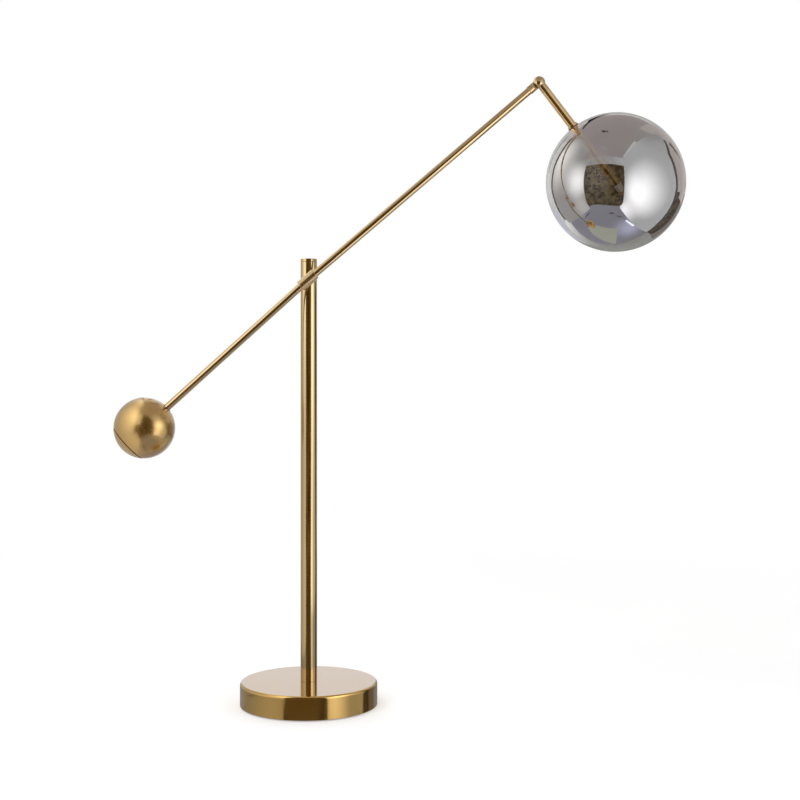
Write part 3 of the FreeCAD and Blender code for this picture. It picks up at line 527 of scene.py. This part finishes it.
drill = bpy.context.object
inlet = cover.modifiers.new("inlet", "BOOLEAN")
inlet.object = drill
bpy.context.view_layer.objects.active = cover
bpy.ops.object.modifier_apply(modifier="inlet")
bpy.data.objects.remove(drill)
even_shading(cover)
cover.data.materials.append(brass_finish("turned_brass", round_the_axis, 0.12, 0.08))
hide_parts("base_cover")
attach(cover, "stand")

# -------------------------------------------------------------------- pole
# A straight 18 mm brass tube drawn to size and buffed, with a turned cap
# pressed into its top.  A nipple inside its foot pulls it onto the cover.
TUBE_BRASS = (0.50, 0.345, 0.14), (0.60, 0.425, 0.19)
POLE_RADIUS, POLE_BORE, POLE_TOP, POLE_EDGE = 0.009, 0.0078, 0.4834, 0.0002
CAP_FOOT, CAP_TOP, CAP_EDGE, CAP_SEAT = 0.4836, 0.487, 0.0005, 0.0087


def along(heading):
    """Fine straight lines along a drawn tube that points this way."""
    axis = tuple(heading)

    def grain(place):
        run = place.vector("DOT_PRODUCT", {0: place, 1: axis}, 1)
        step = place.vector("SCALE", {0: axis, "Scale": run})
        across = place.vector("SUBTRACT", {0: place, 1: step})
        lines = place.vector("SCALE", {0: across, "Scale": LINES_PER_METRE})
        stretch = place.vector("SCALE", {0: step, "Scale": 60.0})
        return place.vector("ADD", {0: lines, 1: stretch})
    return grain


pole = turned("pole_shell", [
    (POLE_BORE, BASE_HEIGHT),
    (POLE_RADIUS - POLE_EDGE, BASE_HEIGHT),
    (POLE_RADIUS, BASE_HEIGHT + POLE_EDGE),
    *arc((POLE_RADIUS - POLE_EDGE, POLE_TOP - POLE_EDGE), POLE_EDGE, 0, 90, 3),
    (POLE_BORE, POLE_TOP),
    (POLE_BORE, BASE_HEIGHT),
], TABLE_CENTRE, UP)
even_shading(pole)
pole.data.materials.append(brass_finish("pole_brass", along(UP), 0.12, 0.06, TUBE_BRASS, 1.7))
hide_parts("pole_tube")
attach(pole, "stand")

pole_cap = turned("cap_shell", [
    (0, CAP_FOOT),
    (CAP_SEAT, CAP_FOOT),
    *arc((POLE_RADIUS - POLE_EDGE, CAP_FOOT + POLE_EDGE), POLE_EDGE, -90, 0, 3),
    *arc((POLE_RADIUS - CAP_EDGE, CAP_TOP - CAP_EDGE), CAP_EDGE, 0, 90, 5),
    (0, CAP_TOP),
], TABLE_CENTRE, UP)
even_shading(pole_cap)
pole_cap.data.materials.append(brass_finish("cap_brass", round_the_axis, 0.12, 0.06, TUBE_BRASS))
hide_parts("pole_cap")
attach(pole_cap, "stand")

# ------------------------------------------------------ sleeve and two arms
# A short thick sleeve stands in front of the pole on the pivot; a slim drawn
# tube is soldered into each end of it, the front one aimed up at the globe.
ARM_BRASS = (0.52, 0.345, 0.14), (0.62, 0.425, 0.19)
ARM_LACQUER = 1.8
SLEEVE_RADIUS, SLEEVE_BORE, SLEEVE_END, SLEEVE_EDGE = 0.006, 0.0041, 0.0105, 0.0004
TUBE_RADIUS, TUBE_BORE, TUBE_START, TUBE_EDGE = 0.004, 0.003, 0.0027, 0.00015


def aimed(angle):
    """The direction at this many degrees above the level, towards the globe."""
    return Vector((cos(radians(angle)), 0, sin(radians(angle))))


PIVOT = Vector((0, -0.019, 0.463))
FRONT_ANGLE, REAR_ANGLE = 40.5, 42.2
FRONT = aimed(FRONT_ANGLE)
REAR = -aimed(REAR_ANGLE)
MIDDLE = aimed((FRONT_ANGLE + REAR_ANGLE) / 2)

sleeve = turned("sleeve_shell", [
    (SLEEVE_BORE, -SLEEVE_END),
    *arc((SLEEVE_RADIUS - SLEEVE_EDGE, SLEEVE_EDGE - SLEEVE_END), SLEEVE_EDGE, -90, 0, 4),
    *arc((SLEEVE_RADIUS - SLEEVE_EDGE, SLEEVE_END - SLEEVE_EDGE), SLEEVE_EDGE, 0, 90, 4),
    (SLEEVE_BORE, SLEEVE_END),
    (SLEEVE_BORE, -SLEEVE_END),
], PIVOT, MIDDLE, 96)
even_shading(sleeve)
sleeve_brass = brass_finish("sleeve_brass", along(MIDDLE), 0.28, 0.08, ARM_BRASS, ARM_LACQUER)
sleeve.data.materials.append(sleeve_brass)
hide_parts("arm_sleeve")
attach(sleeve, "arm")

for name, node, heading, reach in (
    ("front_tube", "front_arm_tube", FRONT, 0.3144),
    ("rear_tube", "rear_arm_tube", REAR, 0.2188),
):
    tube = turned(name, [
        (TUBE_BORE, TUBE_START),
        (TUBE_RADIUS, TUBE_START),
        *arc((TUBE_RADIUS - TUBE_EDGE, reach - TUBE_EDGE), TUBE_EDGE, 0, 90, 2),
        (TUBE_BORE, reach),
        (TUBE_BORE, TUBE_START),
    ], PIVOT, heading, 96)
    even_shading(tube)
    tube_brass = brass_finish(name + "_brass", along(heading), 0.14, 0.06, ARM_BRASS, ARM_LACQUER)
    tube.data.materials.append(tube_brass)
    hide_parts(node)
    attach(tube, "arm")

# ------------------------------------------------------ counterweight ball
# A solid turned ball on the end of the rear tube, satin brushed and plated to
# the tone of the brass.  A thin seam shows where its end cap closes it.
BALL = PIVOT + 0.238 * REAR
BALL_RADIUS, BALL_BORE = 0.033, 0.0041
RECESS_RADIUS, RECESS_FLOOR, RECESS_ANGLE = 0.0052, -0.0310, -80.9
SEAM_RADIUS, SOCKET_RADIUS, SOCKET_FLOOR = 0.0226, 0.0150, 0.018


def ball_arc(first, last, steps):
    return arc((0, 0), BALL_RADIUS, first, last, steps)


def degrees_at(height):
    """Where the ball's outline is this far along its axis."""
    return degrees(asin(height / BALL_RADIUS))


ball = turned("ball_shell", [
    (BALL_BORE, RECESS_FLOOR),
    (RECESS_RADIUS, RECESS_FLOOR),
    *ball_arc(RECESS_ANGLE, degrees_at(0.0221), 72),
    (SEAM_RADIUS, 0.0226),
    (SOCKET_RADIUS, 0.0227),
    (SOCKET_RADIUS, SOCKET_FLOOR),
    (BALL_BORE, SOCKET_FLOOR),
    (BALL_BORE, RECESS_FLOOR),
], BALL, REAR, 160)
even_shading(ball)
ball_tones = (0.54, 0.335, 0.10), (0.66, 0.425, 0.14)
ball_brass = brass_finish("ball_brass", along(REAR), 0.27, 0.18, ball_tones, 1.6)
ball.data.materials.append(ball_brass)
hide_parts("counterweight_ball")
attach(ball, "arm")

end_cap = turned("ball_end", [
    (0.0, 0.023), (SEAM_RADIUS, 0.0231), *ball_arc(degrees_at(0.0236), 90, 30),
], BALL, REAR, 160)
even_shading(end_cap)
end_cap.data.materials.append(ball_brass)
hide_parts("counterweight_end_cap")
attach(end_cap, "arm")

# ----------------------------------------------------------------- knuckle
# Two halves of a small ball meet on the plane of the arm with a thin slot.
# The rear half ends the main tube and the front half starts the short one.
KNUCKLE = PIVOT + 0.329 * FRONT
HEAD = aimed(-52.7)
KNUCKLE_RADIUS, HALF_SLOT, NECK_EDGE = 0.0065, 0.0003, 0.0002
HEAD_RADIUS, HEAD_START = 0.00475, 0.012


def weld(knob, addition):
    """Joins a second shape to the first, which is selected afterwards."""
    join = knob.modifiers.new("join", "BOOLEAN")
    join.operation = "UNION"
    join.object = addition
    bpy.context.view_layer.objects.active = knob
    bpy.ops.object.modifier_apply(modifier="join")
    bpy.data.objects.remove(addition)
    bpy.ops.object.select_all(action="DESELECT")
    knob.select_set(True)


def half_knuckle(name, side, heading, radius, neck_start, neck_end):
    """A half ball with a half tongue, run into a full round neck."""
    bpy.ops.object.select_all(action="DESELECT")
    bpy.ops.mesh.primitive_uv_sphere_add(
        segments=96, ring_count=48, radius=KNUCKLE_RADIUS,
        location=KNUCKLE, rotation=(radians(90), 0, 0),
    )
    knob = bpy.context.object
    knob.name = name
    weld(knob, turned("tongue", [
        (0, 0.0), (radius, 0.0), (radius, neck_start), (0, neck_start),
    ], KNUCKLE, heading, 96))
    bpy.ops.object.transform_apply(location=True, rotation=True, scale=True)
    bpy.ops.object.mode_set(mode="EDIT")
    bpy.ops.mesh.select_all(action="SELECT")
    bpy.ops.mesh.bisect(
        plane_co=(0, KNUCKLE.y + side * HALF_SLOT, 0), plane_no=(0, side, 0),
        use_fill=True, clear_inner=True,
    )
    bpy.ops.object.mode_set(mode="OBJECT")
    weld(knob, turned("neck", [
        (0, neck_start - NECK_EDGE),
        (radius - 0.0001, neck_start - NECK_EDGE),
        (radius, neck_start),
        (radius, neck_end - NECK_EDGE),
        (radius - NECK_EDGE, neck_end),
        (0, neck_end),
    ], KNUCKLE, heading, 96))
    bpy.ops.object.shade_smooth_by_angle(angle=SHARP_EDGE)
    even_shading(knob)
    half_brass = brass_finish(name + "_brass", along(heading), 0.14, 0.05, ARM_BRASS, ARM_LACQUER)
    knob.data.materials.append(half_brass)
    return knob


rear_half = half_knuckle("rear_half", 1, -FRONT, 0.0046, 0.0092, 0.0146)
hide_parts("arm_knuckle")
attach(rear_half, "arm")
front_half = half_knuckle("front_half", -1, HEAD, HEAD_RADIUS, 0.00725, HEAD_START)
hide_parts("head_knuckle")
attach(front_half, "head")

# ------------------------------------------------------- head tube, collar
# The short tube carries the globe: it runs through the neck of the glass to
# the bulb at its centre.  A collar with a set screw holds the glass up.
HEAD_BORE, HEAD_END, HEAD_EDGE = 0.00395, 0.139, 0.00015
head_tube = turned("short_tube", [
    (HEAD_BORE, HEAD_START),
    (HEAD_RADIUS, HEAD_START),
    (HEAD_RADIUS, HEAD_END - 0.0002),
    (HEAD_RADIUS - HEAD_EDGE, HEAD_END),
    (HEAD_BORE, HEAD_END),
    (HEAD_BORE, HEAD_START),
], KNUCKLE, HEAD, 96)
even_shading(head_tube)
head_tones = (0.72, 0.45, 0.18), (0.82, 0.54, 0.24)
head_brass = brass_finish("short_tube_brass", along(HEAD), 0.14, 0.06, head_tones, ARM_LACQUER)
head_tube.data.materials.append(head_brass)
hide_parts("head_tube")
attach(head_tube, "head")

GLOBE_REACH, OUTER, HOLE = 0.136, 0.075, 0.0057
GLASS_EDGE = GLOBE_REACH - sqrt(OUTER ** 2 - HOLE ** 2)
COLLAR_END = GLASS_EDGE - 0.00088
COLLAR_START = COLLAR_END - 0.0024
COLLAR_RADIUS, COLLAR_BORE, COLLAR_EDGE = 0.0058, 0.00477, 0.0003
collar = turned("collar_shell", [
    (COLLAR_BORE, COLLAR_START),
    *arc((COLLAR_RADIUS - COLLAR_EDGE, COLLAR_START + COLLAR_EDGE), COLLAR_EDGE, -90, 0, 4),
    (COLLAR_RADIUS, COLLAR_END),
    (COLLAR_BORE, COLLAR_END),
    (COLLAR_BORE, COLLAR_START),
], KNUCKLE, HEAD, 96)
even_shading(collar)
collar.data.materials.append(head_brass)
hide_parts("globe_collar")
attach(collar, "head")

# ------------------------------------------------------------- glass globe
# A blown ball of smoked glass with a half-mirror metal coat on the outside.
# Its only opening is the neck hole, where a silicone ring seats on the glass.
GLOBE = KNUCKLE + GLOBE_REACH * HEAD
INNER = 0.0725


def hole_angle(radius):
    """Where the outline of a ball of this radius meets the neck hole."""
    return -90 + degrees(asin(HOLE / radius))


def glass_finish(name, first, second, roughness, metallic=0.0):
    """Glass of a faintly cloudy tone; the metallic share is its mirror coat."""
    glass, place = start_finish(name)
    cloud = place.noise(22.0, 3.0)
    end_finish(place.node("ShaderNodeBsdfPrincipled", {}, {
        "Base Color": place.blend(cloud, first, second),
        "Metallic": metallic,
        "Roughness": roughness + 0.01 * cloud,
        "IOR": 1.5,
        "Transmission Weight": 1.0,
    }))
    return glass


globe = turned("globe_shell", [
    *arc((0, 0), INNER, 90, hole_angle(INNER), 72),
    *arc((0, 0), OUTER, hole_angle(OUTER), 90, 96),
], GLOBE, HEAD, 192)
globe.data.materials.append(
    glass_finish("mirror_glass", (0.86, 0.85, 0.86), (0.92, 0.92, 0.94), 0.012, 0.45)
)
globe.data.materials.append(
    glass_finish("smoke_glass", (0.45, 0.43, 0.41), (0.52, 0.50, 0.48), 0.01)
)
for face in globe.data.polygons:
    if (face.center - GLOBE).length < (OUTER + INNER) / 2:
        face.material_index = 1
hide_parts("glass_globe")
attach(globe, "head")


# ---------------------------------------------------------- plain finishes
# What is inside or behind keeps its CAD shape and only gets its finish: steel,
# small brass, ballast, rubber, silicone, nylon, ceramic, glass and wires.
def plain_finish(name, first, second, roughness, scale, relief, metallic=0.0):
    """A finish of two near tones in fine specks, which also give its relief."""
    finish, place = start_finish(name)
    speck = place.noise(scale, 4.0)
    relief_sockets = {"Strength": relief, "Distance": 0.0002, "Height": speck}
    end_finish(place.node("ShaderNodeBsdfPrincipled", {}, {
        "Base Color": place.blend(speck, first, second),
        "Metallic": metallic,
        "Roughness": roughness * (0.8 + 0.4 * speck),
        "Normal": place.node("ShaderNodeBump", {}, relief_sockets),
    }))
    return finish


def dress(finish, nodes):
    for node in nodes.split():
        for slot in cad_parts[node].material_slots:
            slot.material = finish


dress(
    brass_finish("small_brass", round_the_axis, 0.2, 0.05),
    "pole_foot_bush front_pivot_bush rear_pivot_bush pivot_spring_washer pivot_cap_nut"
    " knuckle_screw collar_set_screw globe_ring",
)
dress(
    plain_finish("zinced_steel", (0.55, 0.55, 0.54), (0.68, 0.68, 0.66), 0.35, 300.0, 0.1, 1.0),
    "base_plate plate_screws base_nipple nipple_nut nipple_washer pivot_stud"
    " rear_tube_insert counterweight_bolt bulb_pins",
)
dress(
    plain_finish("cast_ballast", (0.05, 0.05, 0.05), (0.11, 0.105, 0.10), 0.7, 400.0, 0.5, 0.4),
    "base_weight",
)
dress(
    plain_finish("soft_pad", (0.03, 0.03, 0.03), (0.06, 0.06, 0.06), 0.95, 1500.0, 0.6),
    "base_pad",
)
dress(
    plain_finish("black_rubber", (0.02, 0.02, 0.02), (0.035, 0.035, 0.035), 0.6, 700.0, 0.2),
    "cord_grommet",
)
# The neck ring is silicone. Its dark brown colour is painted shade where the tube enters the glass.
dress(
    plain_finish("clear_silicone", (0.13, 0.07, 0.03), (0.18, 0.10, 0.045), 0.4, 500.0, 0.1),
    "globe_grommet",
)
dress(
    plain_finish("washer_nylon", (0.05, 0.042, 0.035), (0.07, 0.06, 0.05), 0.5, 500.0, 0.1),
    "front_friction_washer rear_friction_washer knuckle_washer",
)
dress(
    plain_finish("terminal_nylon", (0.78, 0.77, 0.73), (0.84, 0.83, 0.80), 0.55, 500.0, 0.1),
    "terminal_block",
)
dress(
    plain_finish("wire_sheath", (0.70, 0.70, 0.68), (0.78, 0.78, 0.76), 0.5, 600.0, 0.1),
    "pole_wire arm_wire head_wire",
)
dress(
    plain_finish("holder_ceramic", (0.80, 0.79, 0.76), (0.86, 0.85, 0.83), 0.45, 400.0, 0.1),
    "lamp_holder bulb_base",
)
dress(
    plain_finish("capsule_glass", (0.90, 0.90, 0.88), (0.95, 0.95, 0.93), 0.25, 300.0, 0.05),
    "bulb_capsule",
)
